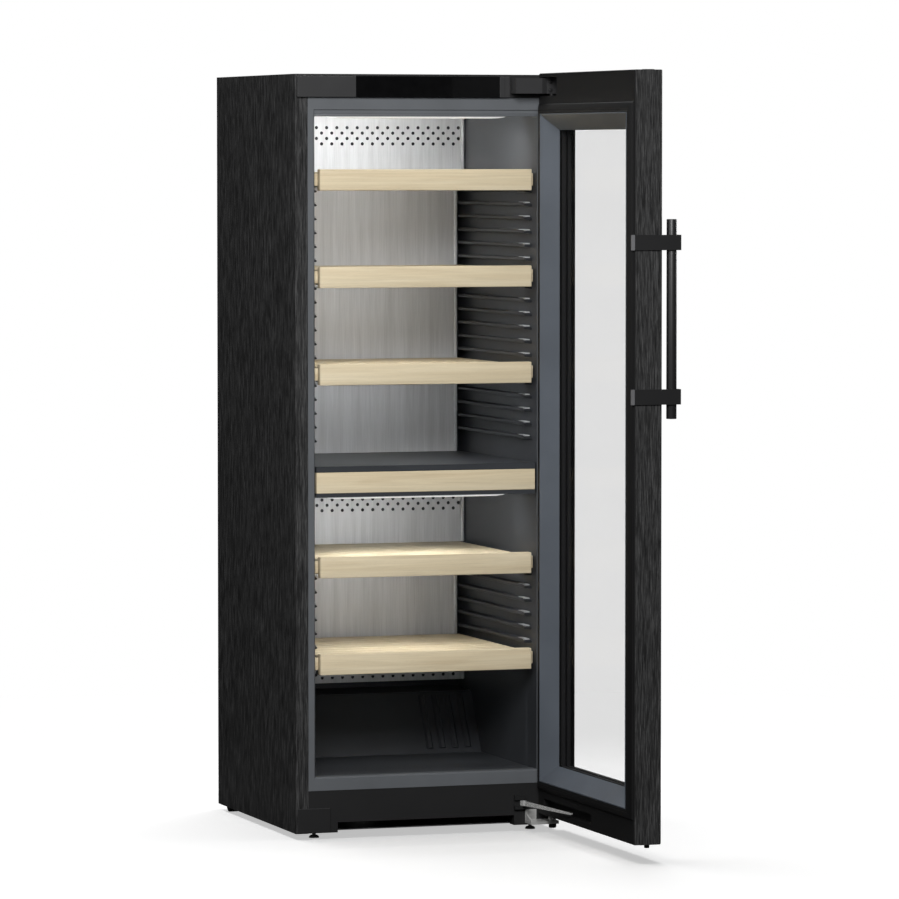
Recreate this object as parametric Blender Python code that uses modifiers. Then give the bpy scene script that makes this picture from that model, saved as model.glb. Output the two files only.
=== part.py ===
"""Freestanding wine cooler with a glass door, standing open at 90 degrees.

Lengths below are in millimetres and are turned into metres where a mesh is made.
Cabinet axes: X from the left outer side to the right, Y from the front of the cabinet to its back,
Z up from the floor. The door is drawn shut and then turned about its hinge axis.
"""

import math

import bmesh
import bpy
from mathutils import Matrix, Vector

MM = 0.001
GAP = 0.3

# Cabinet
WIDTH = 597.0
DEPTH = 600.0
CABINET_TOP = 1652.0
CABINET_BOTTOM = 12.5
SKIN = 1.0
FLANGE = 28.1
MID_X = WIDTH / 2

# Grey front frame round the opening, and the space inside
FRAME_BOTTOM = 105.0
FRAME_TOP = 1602.0
OPENING_LEFT = 44.3
OPENING_RIGHT = WIDTH - OPENING_LEFT
OPENING_BOTTOM = 134.0
OPENING_TOP = 1566.0
FRAME_DEPTH = 38.0
LINER = 2.0
INNER_BACK = 540.0
AIR_PANEL_Y = 497.0
AIR_PANEL_BOTTOM = 274.0

# Ledges on the side walls
RIB_REACH = 17.1
RIB_PITCH = 30.0
RIB_HEIGHT = 9.0
RIB_FRONT = FRAME_DEPTH + GAP
UPPER_RIB = 1434.7
UPPER_RIBS = 20
LOWER_RIB = 597.0
LOWER_RIBS = 9

# Shelves: the middle height of each front board
SHELF_HEIGHTS = {"shelf_1": 1424.2, "shelf_2": 1214.4, "shelf_3": 1004.4, "shelf_4": 587.8, "shelf_5": 377.7}
BOARD_WIDTH = 483.0
BOARD_HEIGHT = 46.0
BOARD_THICK = 20.0
BOARD_FRONT = 3.0
DECK_HALF = MID_X - OPENING_LEFT - RIB_REACH - 1.0
DECK_BACK = 482.0
SLATS = 9

# Zone divider
DIVIDER_BOTTOM = 739.5
DIVIDER_TOP = 806.5
DIVIDER_BOARD = (748.2, 793.6)

# Plinth and base
PLINTH_RECESS = 35.0
RECESS_LEFT = 94.6
RECESS_RIGHT = 499.0
BASE_FRONT = 42.0
BASE_TOP = 15.0
NICHE_TOP = 230.0
FOOT_X = 50.0
FOOT_Y = 31.0
FOOT_RADIUS = 11.0
ROLLER_RADIUS = 15.0
ROLLER_Y = 540.0

# Fascia over the opening
FASCIA_FRONT = -9.0
FASCIA_TOP = 1647.4
DISPLAY = (135.2, 462.0)

# Door, drawn shut
HINGE_X = 573.5
HINGE_Y = -30.0
DOOR_LEFT = 1.5
DOOR_RIGHT = 595.5
DOOR_BOTTOM = 38.0
DOOR_TOP = 1655.0
DOOR_INNER = -9.0
DOOR_OUTER = -70.2
DOOR_HEM = 2.0
GASKET_FACE = -0.5
BEVEL_OUTER = (33.0, 564.0, 114.0, 1565.2)
BEVEL_RUN = 33.4
GLASS_BACK = DOOR_OUTER + 4.7
PIN_RADIUS = 5.0
PIN_HOLE = 5.6

# Handle, drawn with the shut door
HANDLE_PLATE = (-2.5, 1.2)
HANDLE_REACH = -111.0
HANDLE_NOSE = -8.3
BAR_CENTRE = (12.6, -95.3)
BAR_RADIUS = 10.8
BAR_ENDS = (928.0, 1344.5)
BRACKETS = {"lower": 974.5, "upper": 1296.0}
BRACKET_HEIGHT = 32.0

# Lower hinge and closer
CLOSER_X = 515.0
CLOSER_Y = -6.0
CLOSER_Z = 62.0
CLOSER_LENGTH = 235.0
CLOSER_ANGLE = -81.9

# Fans
FAN_Y = 512.0
FAN_HEIGHTS = {"upper": 1430.0, "lower": 655.0}
FAN_RADIUS = 47.0
BLADES = 7


def clear_scene():
    for item in list(bpy.data.objects):
        bpy.data.objects.remove(item, do_unlink=True)


def new_collection(name, hidden=False):
    group = bpy.data.collections.new(name)
    bpy.context.scene.collection.children.link(group)
    group.hide_render = hidden
    return group


def material(name, colour, roughness, metallic=0.0, alpha=1.0):
    made = bpy.data.materials.new(name)
    made.use_nodes = True
    shader = made.node_tree.nodes["Principled BSDF"]
    shader.inputs["Base Color"].default_value = (*colour, 1.0)
    shader.inputs["Roughness"].default_value = roughness
    shader.inputs["Metallic"].default_value = metallic
    shader.inputs["Alpha"].default_value = alpha
    made.diffuse_color = (*colour, alpha)
    return made


clear_scene()
PARTS = new_collection("wine_cooler")
CUTTERS = new_collection("cutters", hidden=True)

BLACK_STEEL = material("black_steel", (0.030, 0.030, 0.032), 0.42, 0.8)
BLACK_PLASTIC = material("black_plastic", (0.012, 0.012, 0.012), 0.5)
GREY_TRIM = material("grey_trim", (0.11, 0.125, 0.14), 0.5)
DARK_LINER = material("dark_liner", (0.035, 0.038, 0.044), 0.5)
STAINLESS = material("stainless", (0.55, 0.55, 0.54), 0.35, 1.0)
ZINC = material("zinc_plate", (0.6, 0.6, 0.6), 0.3, 1.0)
BEECH = material("beech", (0.66, 0.53, 0.36), 0.55)
GLASS = material("glass", (0.8, 0.82, 0.82), 0.02, 0.0, 0.3)
DISPLAY_GLOSS = material("display_gloss", (0.004, 0.004, 0.004), 0.08)
LIGHT = material("light_diffuser", (0.95, 0.95, 0.92), 0.3)
FOAM = material("foam", (0.8, 0.75, 0.55), 0.9)
RUBBER = material("rubber", (0.015, 0.015, 0.015), 0.7)


def mesh_object(name, bm, finish, centre=None, group=None):
    """Makes an object from bm, which is in cabinet millimetres, with its origin at centre."""
    if centre is None:
        low = [min(v.co[i] for v in bm.verts) for i in range(3)]
        high = [max(v.co[i] for v in bm.verts) for i in range(3)]
        centre = [(a + b) / 2 for a, b in zip(low, high)]
    centre = Vector(centre)
    bmesh.ops.translate(bm, verts=bm.verts, vec=-centre)
    bmesh.ops.scale(bm, verts=bm.verts, vec=(MM, MM, MM))
    bmesh.ops.recalc_face_normals(bm, faces=bm.faces)
    mesh = bpy.data.meshes.new(name)
    bm.to_mesh(mesh)
    bm.free()
    made = bpy.data.objects.new(name, mesh)
    made.location = centre * MM
    (group or PARTS).objects.link(made)
    if finish:
        mesh.materials.append(finish)
    return made


def box(name, x, y, z, finish=None, group=None):
    bm = bmesh.new()
    bmesh.ops.create_cube(bm, size=1)
    bmesh.ops.scale(bm, verts=bm.verts, vec=(x[1] - x[0], y[1] - y[0], z[1] - z[0]))
    bmesh.ops.translate(bm, verts=bm.verts, vec=((x[0] + x[1]) / 2, (y[0] + y[1]) / 2, (z[0] + z[1]) / 2))
    return mesh_object(name, bm, finish, group=group)


AXIS_TURN = {
    "z": Matrix.Identity(3),
    "x": Matrix.Rotation(math.radians(90), 3, "Y"),
    "y": Matrix.Rotation(math.radians(-90), 3, "X"),
}


def rod(name, centre, radius, length, axis="z", finish=None, group=None, sides=32, far_radius=None):
    """A cylinder or cone whose middle is at centre."""
    bm = bmesh.new()
    bmesh.ops.create_cone(bm, cap_ends=True, segments=sides, radius1=radius,
                          radius2=radius if far_radius is None else far_radius, depth=length)
    bmesh.ops.rotate(bm, verts=bm.verts, matrix=AXIS_TURN[axis])
    bmesh.ops.translate(bm, verts=bm.verts, vec=centre)
    made = mesh_object(name, bm, finish, centre=centre, group=group)
    smooth(made)
    return made


def smooth(made):
    made.data.shade_smooth()
    made.data.set_sharp_from_angle(angle=math.radians(35))


OUTLINE_PLANES = {
    "x": Matrix(((0, 0, 1), (1, 0, 0), (0, 1, 0))),
    "y": Matrix(((1, 0, 0), (0, 0, -1), (0, 1, 0))),
    "z": Matrix.Identity(3),
}


def extruded(name, points, axis, span, finish=None, group=None):
    """A flat outline pushed along axis over span. Points are (Y, Z) for x, (X, Z) for y and (X, Y) for z."""
    curve = bpy.data.curves.new(name, "CURVE")
    curve.dimensions = "2D"
    curve.fill_mode = "BOTH"
    curve.extrude = (span[1] - span[0]) / 2
    spline = curve.splines.new("POLY")
    spline.points.add(len(points) - 1)
    for point, (u, v) in zip(spline.points, points):
        point.co = (u, v, 0, 1)
    spline.use_cyclic_u = True
    guide = bpy.data.objects.new(name + "_outline", curve)
    CUTTERS.objects.link(guide)
    bpy.context.view_layer.update()
    mesh = bpy.data.meshes.new_from_object(guide.evaluated_get(bpy.context.evaluated_depsgraph_get()))
    bpy.data.objects.remove(guide)
    bm = bmesh.new()
    bm.from_mesh(mesh)
    bpy.data.meshes.remove(mesh)
    bmesh.ops.remove_doubles(bm, verts=bm.verts, dist=0.01)
    turn = OUTLINE_PLANES[axis]
    middle = (span[0] + span[1]) / 2
    along = turn @ Vector((0, 0, 1))
    sign = -1 if axis == "y" else 1
    bmesh.ops.rotate(bm, verts=bm.verts, matrix=turn)
    bmesh.ops.translate(bm, verts=bm.verts, vec=along * middle * sign)
    return mesh_object(name, bm, finish, group=group)


def rect_ring(name, loops, finish=None):
    """A frame lofted through rectangles (x0, x1, z0, z1, y), the last joined back to the first."""
    bm = bmesh.new()
    rows = []
    for x0, x1, z0, z1, y in loops:
        rows.append([bm.verts.new(p) for p in ((x0, y, z0), (x1, y, z0), (x1, y, z1), (x0, y, z1))])
    for here, there in zip(rows, rows[1:] + rows[:1]):
        for i in range(4):
            j = (i + 1) % 4
            bm.faces.new((here[i], here[j], there[j], there[i]))
    return mesh_object(name, bm, finish)


def inset(rect, by):
    x0, x1, z0, z1 = rect
    return (x0 + by, x1 - by, z0 + by, z1 - by)


def bevel(made, width, segments=2, angle=35):
    edge = made.modifiers.new("edge_round", "BEVEL")
    edge.width = width * MM
    edge.segments = segments
    edge.limit_method = "ANGLE"
    edge.angle_limit = math.radians(angle)
    return made


def hide_cutter(cutter):
    cutter.hide_render = True
    cutter.display_type = "WIRE"


def combine(made, other, operation):
    step = made.modifiers.new(other.name, "BOOLEAN")
    step.operation = operation
    step.object = other
    hide_cutter(other)
    return made


def cut(made, cutter):
    return combine(made, cutter, "DIFFERENCE")


def weld_on(made, piece):
    return combine(made, piece, "UNION")


def hang_on(parent, *pieces):
    """Parents pieces, drawn in cabinet millimetres, to an empty that is still unturned."""
    for piece in pieces:
        piece.parent = parent
        piece.location = piece.location - parent.location


def empty_at(name, place):
    made = bpy.data.objects.new(name, None)
    made.location = Vector(place) * MM
    PARTS.objects.link(made)
    return made


# ---------------------------------------------------------------- cabinet shell

def side_panels():
    """Steel sheets with a return across the front edge of the cabinet."""
    def profile(outer, way):
        fold = 1.6
        return [(outer, fold), (outer + way * 0.45, 0.45), (outer + way * fold, 0), (outer + way * FLANGE, 0),
                (outer + way * FLANGE, SKIN), (outer + way * SKIN, SKIN), (outer + way * SKIN, DEPTH),
                (outer, DEPTH)]
    span = (CABINET_BOTTOM, CABINET_TOP)
    extruded("side_panel_left", profile(0, 1), "z", span, BLACK_STEEL)
    extruded("side_panel_right", profile(WIDTH, -1), "z", span, BLACK_STEEL)


def top_and_rear_panels():
    inside = (SKIN + GAP, WIDTH - SKIN - GAP)
    box("top_panel", inside, (SKIN + GAP, DEPTH), (FASCIA_TOP + GAP, CABINET_TOP), BLACK_PLASTIC)
    box("rear_panel", inside, (DEPTH - 2, DEPTH), (NICHE_TOP + 2, FASCIA_TOP), BLACK_STEEL)


def floor_line(drop):
    """The cooled space's floor from front to back as (Y, Z), lowered by drop: flat, a slope, then flat."""
    return [(376 + drop / 2, OPENING_BOTTOM - drop), (450 + drop / 2, 266 - drop), (INNER_BACK + drop, 272 - drop)]


def insulation():
    """One foamed body: a block less the cooled space and the compressor niche."""
    foam = box("insulation", (SKIN + GAP, WIDTH - SKIN - GAP), (12, DEPTH - 2 - GAP),
               (FRAME_BOTTOM + GAP, FASCIA_TOP), FOAM)
    skin = LINER + GAP
    cavity = extruded("insulation_cavity", [
        (-5, OPENING_BOTTOM - skin), *floor_line(skin), (INNER_BACK + skin, OPENING_TOP + skin),
        (-5, OPENING_TOP + skin),
    ], "x", (OPENING_LEFT - skin, OPENING_RIGHT + skin), group=CUTTERS)
    niche = extruded("insulation_niche", [
        (381, 90), (472, NICHE_TOP), (DEPTH + 5, NICHE_TOP), (DEPTH + 5, 90),
    ], "x", (20, WIDTH - 20), group=CUTTERS)
    front = box("insulation_front", (-5, WIDTH + 5), (0, FRAME_DEPTH + GAP), (0, FRAME_TOP + GAP), group=CUTTERS)
    for cutter in (cavity, niche, front):
        cut(foam, cutter)


def front_frame():
    """Grey frame round the opening, with a shallow step near its inner edge."""
    outer = (FLANGE + GAP, WIDTH - FLANGE - GAP, FRAME_BOTTOM, FRAME_TOP)
    inner = (OPENING_LEFT, OPENING_RIGHT, OPENING_BOTTOM, OPENING_TOP)
    step = (OPENING_LEFT - 2, OPENING_RIGHT + 2, OPENING_BOTTOM - 2, OPENING_TOP + 9)
    rect_ring("front_frame", [
        (*outer, 0), (*inset(step, -0.8), 0), (*step, 0.8), (*step, 3), (*inset(inner, -1), 3), (*inner, 4),
        (*inner, FRAME_DEPTH), (*outer, FRAME_DEPTH),
    ], GREY_TRIM)


def rib_row(name, wall, way, top, count):
    """A ledge on a side wall, repeated downwards."""
    root = wall - way
    reach = wall + way * RIB_REACH
    ribs = extruded(name, [
        (root, top - RIB_HEIGHT), (wall, top - RIB_HEIGHT), (reach, top - RIB_HEIGHT + 2), (reach, top - 1.5),
        (wall, top), (root, top),
    ], "y", (RIB_FRONT, INNER_BACK), group=CUTTERS)
    row = ribs.modifiers.new("row", "ARRAY")
    row.count = count
    row.use_relative_offset = False
    row.use_constant_offset = True
    row.constant_offset_displace = (0, 0, -RIB_PITCH * MM)
    return ribs


def liner_side(name, wall, way):
    """A side wall with ledges. way is 1 where the cooled space is at larger X."""
    side = box(name, sorted((wall, wall - way * LINER)), (RIB_FRONT, INNER_BACK),
               (OPENING_BOTTOM, OPENING_TOP), DARK_LINER)
    weld_on(side, rib_row(name + "_ribs_upper", wall, way, UPPER_RIB, UPPER_RIBS))
    weld_on(side, rib_row(name + "_ribs_lower", wall, way, LOWER_RIB, LOWER_RIBS))
    below = [*floor_line(LINER), (INNER_BACK + 20, 268), (INNER_BACK + 20, 110), (360, 110)]
    cut(side, extruded(name + "_slope", below, "x", (wall - 40, wall + 40), group=CUTTERS))


def liner():
    liner_side("liner_left", OPENING_LEFT, 1)
    liner_side("liner_right", OPENING_RIGHT, -1)
    between = (OPENING_LEFT + GAP, OPENING_RIGHT - GAP)
    box("liner_top", between, (RIB_FRONT, INNER_BACK), (OPENING_TOP, OPENING_TOP + LINER), DARK_LINER)
    extruded("liner_floor", [
        (RIB_FRONT, OPENING_BOTTOM - LINER), *floor_line(LINER), *reversed(floor_line(0)),
        (RIB_FRONT, OPENING_BOTTOM),
    ], "x", between, DARK_LINER)
    box("liner_rear", (OPENING_LEFT - LINER, OPENING_RIGHT + LINER), (INNER_BACK + GAP, INNER_BACK + LINER),
        (272 + GAP, OPENING_TOP + LINER), DARK_LINER)


def air_panels():
    """Stainless sheets in front of the air ducts, one in each zone."""
    across = (OPENING_LEFT + RIB_REACH + 1, OPENING_RIGHT - RIB_REACH - 1)
    thick = (AIR_PANEL_Y, AIR_PANEL_Y + 1.2)
    box("air_panel_upper", across, thick, (DIVIDER_TOP + 1, OPENING_TOP - 1), STAINLESS)
    box("air_panel_lower", across, thick, (AIR_PANEL_BOTTOM, DIVIDER_BOTTOM - 1), STAINLESS)


def zone_divider():
    """Insulated plate between the zones, with a channel across its front for a wooden strip."""
    front = BOARD_FRONT
    low, high = DIVIDER_BOARD
    extruded("zone_divider", [
        (front, DIVIDER_BOTTOM), (INNER_BACK - GAP, DIVIDER_BOTTOM), (INNER_BACK - GAP, DIVIDER_TOP),
        (front, DIVIDER_TOP), (front, high + GAP), (front + BOARD_THICK, high + GAP),
        (front + BOARD_THICK, low - GAP), (front, low - GAP),
    ], "x", (OPENING_LEFT + 4, OPENING_RIGHT - 4), DARK_LINER)
    box("divider_front", (OPENING_LEFT + 4.5, OPENING_RIGHT - 4.5), (front, front + BOARD_THICK - GAP),
        (low, high), BEECH)


def light_bar():
    """Diffuser strip with tapered ends, under the ceiling of the upper zone."""
    extruded("led_light_bar", [
        (94, OPENING_TOP - GAP), (94, 1561.5), (104, 1557.6), (493, 1557.6), (503, 1561.5),
        (503, OPENING_TOP - GAP),
    ], "y", (66, 84), LIGHT)


def fascia():
    """Control fascia over the opening, with the gloss display let into it."""
    x = (3, 485)
    bar = box("fascia", x, (FASCIA_FRONT, -GAP), (FRAME_TOP + GAP, FASCIA_TOP), BLACK_PLASTIC)
    slot = box("fascia_slot", (DISPLAY[0] - GAP, DISPLAY[1] + GAP), (FASCIA_FRONT - 5, FASCIA_FRONT + 4),
               (FRAME_TOP - 5, FASCIA_TOP + 5), group=CUTTERS)
    bevel(cut(bar, slot), 0.6)
    box("display_panel", DISPLAY, (FASCIA_FRONT, FASCIA_FRONT + 4 - GAP), (FRAME_TOP + GAP, FASCIA_TOP),
        DISPLAY_GLOSS)


# ---------------------------------------------------------------- base, feet and cold side

def plinth():
    x = (FLANGE + GAP, WIDTH - FLANGE - GAP)
    cover = extruded("plinth_cover", [
        (x[0], 13), (RECESS_LEFT, 13), (RECESS_LEFT, PLINTH_RECESS), (RECESS_RIGHT, PLINTH_RECESS),
        (RECESS_RIGHT, 13), (x[1], 13), (x[1], FRAME_BOTTOM - GAP), (x[0], FRAME_BOTTOM - GAP),
    ], "y", (GAP, 30), BLACK_PLASTIC)
    for x_foot in (FOOT_X, WIDTH - FOOT_X):
        bore = rod("plinth_bore", (x_foot, FOOT_Y, 20), 6.0, 40, group=CUTTERS)
        cut(cover, bore)
    corner = box("corner_cover_left", (3.3, 77.6), (-3, -GAP), (13.4, 67.2), BLACK_PLASTIC)
    bevel(corner, 1.2)
    box("base_tray", (30, WIDTH - 30), (BASE_FRONT, DEPTH - 2), (CABINET_BOTTOM, BASE_TOP), BLACK_STEEL)


def turned(name, centre, profile, finish, sides=24):
    """Turns a profile of (radius, z), listed from top to bottom, about a vertical axis."""
    mesh = bpy.data.meshes.new(name)
    mesh.from_pydata([(r * MM, 0, z * MM) for r, z in profile],
                     [(i, i + 1) for i in range(len(profile) - 1)], [])
    made = bpy.data.objects.new(name, mesh)
    made.location = Vector(centre) * MM
    PARTS.objects.link(made)
    mesh.materials.append(finish)
    screw = made.modifiers.new("turn", "SCREW")
    screw.steps = sides
    screw.render_steps = sides
    screw.use_merge_vertices = True
    screw.merge_threshold = 0.0001
    screw.use_smooth_shade = True
    return made


def feet():
    """Levelling feet: a disc on the floor under a threaded stem."""
    profile = [(0, 34), (4, 34), (4, 7), (9, 5), (FOOT_RADIUS, 2.5), (FOOT_RADIUS, 0), (0, 0)]
    turned("foot_front_left", (FOOT_X, FOOT_Y, 0), profile, ZINC)
    turned("foot_front_right", (WIDTH - FOOT_X, FOOT_Y, 0), profile, ZINC)


def rollers():
    for side, x in (("left", 17.0), ("right", WIDTH - 17.0)):
        wheel = rod("roller_rear_" + side, (x, ROLLER_Y, ROLLER_RADIUS), ROLLER_RADIUS, 22, "x", BLACK_PLASTIC)
        bevel(wheel, 2.0)


def compressor():
    """Welded can: straight side with domed top and bottom."""
    radius = 78.0
    base, shoulder, top = BASE_TOP + GAP, 150.0, 190.0
    dome = [(radius * math.sin(a), shoulder + (top - shoulder) * math.cos(a))
            for a in (math.radians(90 * i / 6) for i in range(7))]
    turned("compressor", (205, 507, 0), dome + [(radius, base + 22), (radius * 0.8, base), (0, base)],
           BLACK_STEEL, sides=32)


def condenser():
    """Fin block beside the compressor."""
    block = box("condenser", (320, 545), (455, 560), (BASE_TOP + GAP, 150), ZINC)
    for i in range(8):
        slot_x = 338 + 26 * i
        slot = box("condenser_slot", (slot_x, slot_x + 7), (450, 548), (30, 160), group=CUTTERS)
        cut(block, slot)


def drain_tray():
    tray = box("drain_tray", (125, 285), (476, 580), (196, 224), BLACK_PLASTIC)
    hollow = box("drain_tray_hollow", (128, 282), (479, 577), (199, 230), group=CUTTERS)
    cut(tray, hollow)


def mains_inlet():
    """Appliance inlet with an oblong recess, fixed to the right side of the niche."""
    body = box("mains_inlet", (WIDTH - 40, WIDTH - SKIN - GAP), (566, DEPTH), (60, 92), BLACK_PLASTIC)
    recess = box("mains_inlet_recess", (WIDTH - 34, WIDTH - 8), (582, DEPTH + 5), (66, 86), group=CUTTERS)
    cut(body, recess)


def evaporators():
    """Cooling plates in the duct behind each air panel."""
    x = (90, WIDTH - 90)
    box("evaporator_upper", x, (520, 524), (850, 1330), ZINC)
    box("evaporator_lower", x, (520, 524), (300, 560), ZINC)


def fan_frame(name, z):
    half = 58.0
    front, back = FAN_Y - 10, FAN_Y + 14
    frame = box(name, (MID_X - half, MID_X + half), (front, back), (z - half, z + half), BLACK_PLASTIC)
    bore = rod(name + "_bore", (MID_X, FAN_Y - 5, z), FAN_RADIUS + 3, 30, "y", group=CUTTERS)
    cut(frame, bore)
    windows = rod(name + "_window", (MID_X, back, z), FAN_RADIUS + 3, 30, "y", group=CUTTERS)
    for turn in (0, 90):
        spoke = box(name + "_spoke", (MID_X - 60, MID_X + 60), (back - 20, back + 20), (z - 5, z + 5), group=CUTTERS)
        spoke.rotation_euler.y = math.radians(turn)
        cut(windows, spoke)
    cut(frame, windows)
    return frame


def fan_rotor(name, z):
    """Hub with flat pitched blades, turning about Y."""
    hub = rod(name, (MID_X, FAN_Y - 3, z), 17, 12, "y", BLACK_PLASTIC, sides=24)
    for i in range(BLADES):
        blade = box(name + "_blade", (MID_X + 12, MID_X + FAN_RADIUS), (FAN_Y - 4.2, FAN_Y - 2.8), (z - 12, z + 12),
                    group=CUTTERS)
        reach = blade.location - hub.location
        spin = Matrix.Rotation(2 * math.pi * i / BLADES, 4, "Y")
        pitch = Matrix.Rotation(math.radians(16), 4, "X")
        blade.matrix_world = Matrix.Translation(hub.location) @ spin @ Matrix.Translation(reach) @ pitch
        weld_on(hub, blade)


def fans():
    for zone, z in FAN_HEIGHTS.items():
        fan_frame("fan_frame_" + zone, z)
        fan_rotor("fan_rotor_" + zone, z)


# ---------------------------------------------------------------- shelves

def shelf_mesh():
    """Front board, two side rails and cross slats joined in one, about the middle of the board's front."""
    front = box("shelf_board", (MID_X - BOARD_WIDTH / 2, MID_X + BOARD_WIDTH / 2),
                (BOARD_FRONT, BOARD_FRONT + BOARD_THICK), (-BOARD_HEIGHT / 2, BOARD_HEIGHT / 2), group=CUTTERS)
    first = BOARD_FRONT + BOARD_THICK
    for way in (-1, 1):
        rail_x = sorted((MID_X + way * DECK_HALF, MID_X + way * (DECK_HALF - 18)))
        weld_on(front, box("shelf_rail", rail_x, (first - 5, DECK_BACK), (-12, 10), group=CUTTERS))
    pitch = (DECK_BACK - first) / SLATS
    for i in range(SLATS):
        start = first + 3 + pitch * i
        weld_on(front, box("shelf_slat", (MID_X - DECK_HALF + 0.5, MID_X + DECK_HALF - 0.5),
                           (start, start + pitch - 7), (5, 17), group=CUTTERS))
    bpy.context.view_layer.update()
    mesh = bpy.data.meshes.new_from_object(front.evaluated_get(bpy.context.evaluated_depsgraph_get()))
    mesh.materials.clear()
    mesh.materials.append(BEECH)
    for piece in [item for item in CUTTERS.objects if item.name.startswith("shelf_")]:
        bpy.data.objects.remove(piece)
    return mesh


def shelves():
    mesh = shelf_mesh()
    for name, height in SHELF_HEIGHTS.items():
        shelf = bpy.data.objects.new(name, mesh)
        shelf.location = Vector((MID_X, BOARD_FRONT + BOARD_THICK / 2, height)) * MM
        PARTS.objects.link(shelf)


# ---------------------------------------------------------------- hinges and closer

def upper_hinge():
    """Covered bracket that reaches into the door's pocket, and its pin."""
    bracket = extruded("hinge_bracket_upper", [
        (488, -GAP), (488, -42), (548, -42), (560, -38), (588, -38), (588, -12), (580, -GAP),
    ], "z", (1611, 1644.5), BLACK_PLASTIC)
    cut(bracket, rod("hinge_bracket_upper_bore", (HINGE_X, HINGE_Y, 1628), PIN_HOLE, 60, group=CUTTERS))
    rod("hinge_pin_upper", (HINGE_X, HINGE_Y, 1624), PIN_RADIUS, 54, finish=ZINC, sides=24)


def lower_hinge():
    """Bent steel bracket: an upright on the plinth, a tongue under the door, and its pin and bush."""
    bracket = box("hinge_bracket_lower", (524, 588), (-42, -GAP - 0.3), (17.5, 24.5), ZINC)
    upright = box("hinge_lower_upright", (524, 549), (-5, -GAP - 0.3), (20, 47), group=CUTTERS)
    gusset = extruded("hinge_lower_gusset", [(-2, 22), (-2, 46), (-8.5, 46), (-8.5, 36), (-38, 26), (-38, 22)],
                      "x", (524.5, 528), group=CUTTERS)
    weld_on(bracket, upright)
    weld_on(bracket, gusset)
    cut(bracket, rod("hinge_lower_bore", (HINGE_X, HINGE_Y, 20), PIN_HOLE, 60, group=CUTTERS))
    rod("hinge_pin_lower", (HINGE_X, HINGE_Y, 37), PIN_RADIUS, 34, finish=ZINC, sides=24)
    bush = rod("hinge_bush_lower", (HINGE_X + 4, HINGE_Y, 12.6), 8.5, 9, finish=RUBBER, sides=24)
    bevel(bush, 2.0)


def closer():
    """Housing on the plinth, and the arm that reaches to the door's channel."""
    housing = box("closer_housing", (498, 523), (-8, -GAP), (48, 79), BLACK_PLASTIC)
    cut(housing, box("closer_slot", (490, 530), (-12, -1.5), (CLOSER_Z - 6.5, CLOSER_Z + 6.5), group=CUTTERS))
    half, tip = 6.0, 3.0
    arm = extruded("closer_arm", [
        (-3, -2.2), (-3, 2.2), (CLOSER_LENGTH * 0.55, 2.2), (CLOSER_LENGTH, 1.2), (CLOSER_LENGTH, -1.2),
        (CLOSER_LENGTH * 0.55, -2.2),
    ], "z", (-half, half), ZINC)
    for vertex in arm.data.vertices:
        if vertex.co.x + arm.location.x > CLOSER_LENGTH * 0.9 * MM:
            vertex.co.z *= tip / half
    pivot = empty_at("closer_pivot", (CLOSER_X, CLOSER_Y, CLOSER_Z))
    arm.parent = pivot
    pivot.rotation_euler.z = math.radians(CLOSER_ANGLE)


# ---------------------------------------------------------------- door

def door_frame():
    """Outer frame, full depth at its edges, with a rebate for the glass and a pocket for the hinge."""
    outer = (DOOR_LEFT, DOOR_RIGHT, DOOR_BOTTOM, DOOR_TOP)
    seat = inset(BEVEL_OUTER, -3.5)
    rebate = inset(BEVEL_OUTER, BEVEL_RUN - 10)
    lip = inset(BEVEL_OUTER, BEVEL_RUN - 2)
    frame = rect_ring("door_frame", [
        (*inset(outer, DOOR_HEM), DOOR_OUTER), (*outer, DOOR_OUTER + DOOR_HEM),
        (*outer, DOOR_INNER - GAP - DOOR_HEM), (*inset(outer, DOOR_HEM), DOOR_INNER - GAP),
        (*seat, DOOR_INNER - GAP), (*seat, -34.5),
        (*rebate, -34.5), (*rebate, GLASS_BACK - GAP), (*lip, GLASS_BACK - GAP), (*lip, DOOR_OUTER),
    ], BLACK_STEEL)
    pocket = box("door_pocket", (483, DOOR_RIGHT + 5), (-50, 5), (1606, 1647), group=CUTTERS)
    channel = box("door_channel", (262, 562), (-24, 5), (52, 74), group=CUTTERS)
    upper_bore = rod("door_bore_upper", (HINGE_X, HINGE_Y, 1620), PIN_HOLE, 64, group=CUTTERS)
    lower_bore = rod("door_bore_lower", (HINGE_X, HINGE_Y, 40), PIN_HOLE, 32, group=CUTTERS)
    for cutter in (pocket, channel, upper_bore, lower_bore):
        cut(frame, cutter)
    return [frame, pocket, channel, upper_bore, lower_bore]


def door_trim():
    """Grey bevelled trim that slopes from the gasket down to the glass."""
    back = -33.9
    return rect_ring("door_trim", [
        (*inset(BEVEL_OUTER, -2.2), GASKET_FACE), (*BEVEL_OUTER, GASKET_FACE),
        (*inset(BEVEL_OUTER, BEVEL_RUN), GASKET_FACE - BEVEL_RUN + 0.6), (*inset(BEVEL_OUTER, BEVEL_RUN), back),
        (*inset(BEVEL_OUTER, -2.2), back),
    ], GREY_TRIM)


def door_gasket():
    """Seal whose outer side is rounded off, so that it clears the cabinet as the door swings."""
    inner = inset(BEVEL_OUTER, -2.5)
    outer = (DOOR_LEFT + 3.9, DOOR_RIGHT - 3.9, 91, 1588.5)
    return rect_ring("door_gasket", [
        (*outer, DOOR_INNER), (*outer, -6.9), (*inset(outer, 5), -3.8), (*inset(outer, 10), -1.8),
        (*inset(outer, 15), GASKET_FACE), (*inner, GASKET_FACE), (*inner, DOOR_INNER),
    ], RUBBER)


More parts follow.
